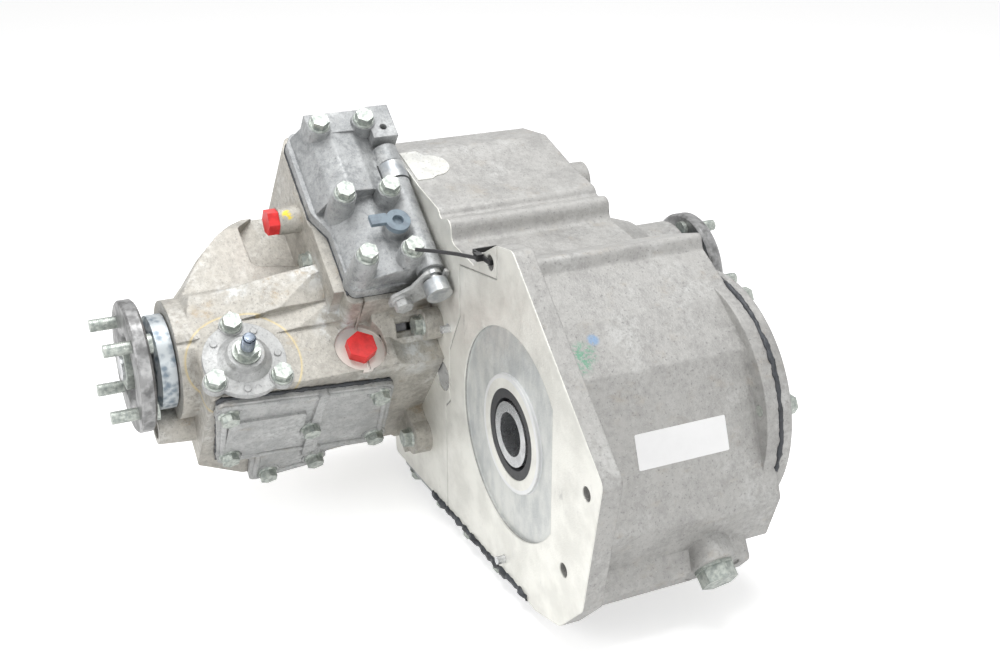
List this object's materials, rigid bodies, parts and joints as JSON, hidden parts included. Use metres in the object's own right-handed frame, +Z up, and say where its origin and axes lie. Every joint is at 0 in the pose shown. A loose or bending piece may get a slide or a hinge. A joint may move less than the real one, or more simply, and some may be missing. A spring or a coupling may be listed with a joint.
{
  "type": "two-speed transfer case",
  "caption": "Two-speed full-time four-wheel-drive transfer case with lockable centre differential, front and rear output flanges, selector housing and opened gearbox face.",
  "frame": {"origin": "centre of the input bore on the face that meets the gearbox", "axes": "-Y forward out of the gearbox face along the shafts, +X towards the input side, +Z up, resting on the sump plate bolts"},
  "size_m": [0.4488, 0.5677, 0.34],
  "materials": {
    "cast_case": "as cast, satin",
    "cast_cover": "as cast, dull",
    "zinc_bolt": "zinc plated",
    "pressed_steel": "galvanised",
    "flange_steel": "machined",
    "gear_steel": "ground",
    "bearing_steel": "ground and polished",
    "iron": "rough cast",
    "seal_rubber": "matte",
    "red_plastic": "moulded",
    "grey_plastic": "moulded",
    "black_nylon": "moulded"
  },
  "bodies": {
    "case": {"main_case": "cast_case", "case_plug_and_dowels": "pressed_steel", "drain_plug": "zinc_bolt", "sump_plate": "pressed_steel", "barrel_cover": "cast_case", "case_bolts": "zinc_bolt", "cover_bolts": "zinc_bolt", "gaskets": "seal_rubber", "oil_seals": "seal_rubber", "taper_bearing_cups": "bearing_steel", "intermediate_shaft": "bearing_steel", "intermediate_thrust_washers": "bearing_steel", "output_bearing_outer_races": "bearing_steel", "front_output_housing": "cast_case", "transit_plugs": "red_plastic", "side_cover": "cast_cover", "diff_lock_cover": "cast_cover", "top_selector_housing": "cast_cover", "top_housing_bolts": "zinc_bolt", "breather_plug": "grey_plastic", "cross_shaft_retainer": "cast_cover", "rear_output_housing": "cast_case", "cable_tie": "black_nylon"},
    "input": {"input_gear": "gear_steel", "input_bearing_cones": "bearing_steel"},
    "intermediate": {"intermediate_gear": "gear_steel", "intermediate_needles": "bearing_steel"},
    "low_gear": {"low_output_gear": "gear_steel"},
    "high_gear": {"high_output_gear": "gear_steel"},
    "differential": {"differential_front_half": "iron", "differential_rear_half": "iron", "differential_bolts": "zinc_bolt", "cross_pins": "gear_steel", "planet_pinions": "gear_steel", "differential_bearing_cones": "bearing_steel", "high_low_hub": "gear_steel"},
    "high_low_sleeve_body": {"high_low_sleeve": "gear_steel"},
    "front_output": {"front_side_gear": "gear_steel", "front_output_shaft": "flange_steel", "front_flange": "flange_steel", "front_flange_fasteners": "zinc_bolt", "front_mud_shield": "pressed_steel", "front_bearing_inner_race": "bearing_steel"},
    "diff_lock_sleeve_body": {"diff_lock_sleeve": "gear_steel"},
    "rear_output": {"rear_side_gear": "gear_steel", "rear_output_shaft": "flange_steel", "rear_flange": "flange_steel", "rear_flange_fasteners": "zinc_bolt", "rear_mud_shield": "pressed_steel", "rear_bearing_inner_race": "bearing_steel", "speedometer_gear": "gear_steel"},
    "high_low_selector": {"high_low_selector_shaft": "bearing_steel", "high_low_fork": "iron", "high_low_selector_jaw": "iron"},
    "range_cross_shaft_body": {"range_cross_shaft": "flange_steel"},
    "diff_lock_selector": {"diff_lock_shaft": "bearing_steel", "diff_lock_fork": "iron", "diff_lock_jaw": "iron"},
    "diff_lock_spindle_body": {"diff_lock_spindle": "flange_steel", "diff_lock_spindle_nut": "zinc_bolt"}
  },
  "joints": [
    {"name": "differential_turn", "type": "hinge", "parent": "case", "child": "differential", "pos_m": [-0.2003, 0, 0.02], "axis": [0, 1, 0], "continuous": true},
    {"name": "front_output_turn", "type": "hinge", "parent": "case", "child": "front_output", "pos_m": [-0.2003, 0, 0.02], "axis": [0, 1, 0], "continuous": true},
    {"name": "rear_output_turn", "type": "hinge", "parent": "case", "child": "rear_output", "pos_m": [-0.2003, 0, 0.02], "axis": [0, 1, 0], "continuous": true},
    {"name": "high_gear_turn", "type": "hinge", "parent": "case", "child": "high_gear", "pos_m": [-0.2003, 0, 0.02], "axis": [0, 1, 0], "continuous": true},
    {"name": "low_gear_turn", "type": "hinge", "parent": "case", "child": "low_gear", "pos_m": [-0.2003, 0, 0.02], "axis": [0, 1, 0], "continuous": true},
    {"name": "intermediate_turn", "type": "hinge", "parent": "case", "child": "intermediate", "pos_m": [-0.10279, 0, -0.0419], "axis": [0, 1, 0], "continuous": true},
    {"name": "input_turn", "type": "hinge", "parent": "case", "child": "input", "pos_m": [0, 0, 0], "axis": [0, 1, 0], "continuous": true},
    {"name": "high_low_shift", "type": "slide", "parent": "case", "child": "high_low_selector", "axis": [0, 1, 0], "range_m": [-0.02, 0]},
    {"name": "high_low_sleeve_slide", "type": "slide", "parent": "differential", "child": "high_low_sleeve_body", "axis": [0, 1, 0], "range_m": [-0.02, 0]},
    {"name": "cross_shaft_turn", "type": "hinge", "parent": "case", "child": "range_cross_shaft_body", "pos_m": [-0.1576, -0.012, 0.12313], "axis": [0.788, 0, -0.6157], "range_deg": [-38.5, 0]},
    {"name": "diff_lock_shift", "type": "slide", "parent": "case", "child": "diff_lock_selector", "axis": [0, 1, 0], "range_m": [0, 0.01]},
    {"name": "diff_lock_sleeve_slide", "type": "slide", "parent": "front_output", "child": "diff_lock_sleeve_body", "axis": [0, 1, 0], "range_m": [0, 0.01]},
    {"name": "diff_lock_spindle_turn", "type": "hinge", "parent": "case", "child": "diff_lock_spindle_body", "pos_m": [-0.13613, -0.1603, 0.03529], "axis": [0.6157, 0, 0.788], "range_deg": [-42, 0]}
  ],
  "couplings": [
    {"joint": "front_output_turn", "follows": "differential_turn", "ratio": 1},
    {"joint": "rear_output_turn", "follows": "differential_turn", "ratio": 1},
    {"joint": "high_gear_turn", "follows": "differential_turn", "ratio": 1},
    {"joint": "intermediate_turn", "follows": "differential_turn", "ratio": -1.0263},
    {"joint": "input_turn", "follows": "differential_turn", "ratio": 1.2074},
    {"joint": "low_gear_turn", "follows": "differential_turn", "ratio": 0.36011},
    {"joint": "high_low_sleeve_slide", "follows": "high_low_shift", "ratio": 1},
    {"joint": "cross_shaft_turn", "follows": "high_low_shift", "rad_per_m": 33.333},
    {"joint": "diff_lock_sleeve_slide", "follows": "diff_lock_shift", "ratio": 1},
    {"joint": "diff_lock_spindle_turn", "follows": "diff_lock_shift", "rad_per_m": -73.04}
  ]
}
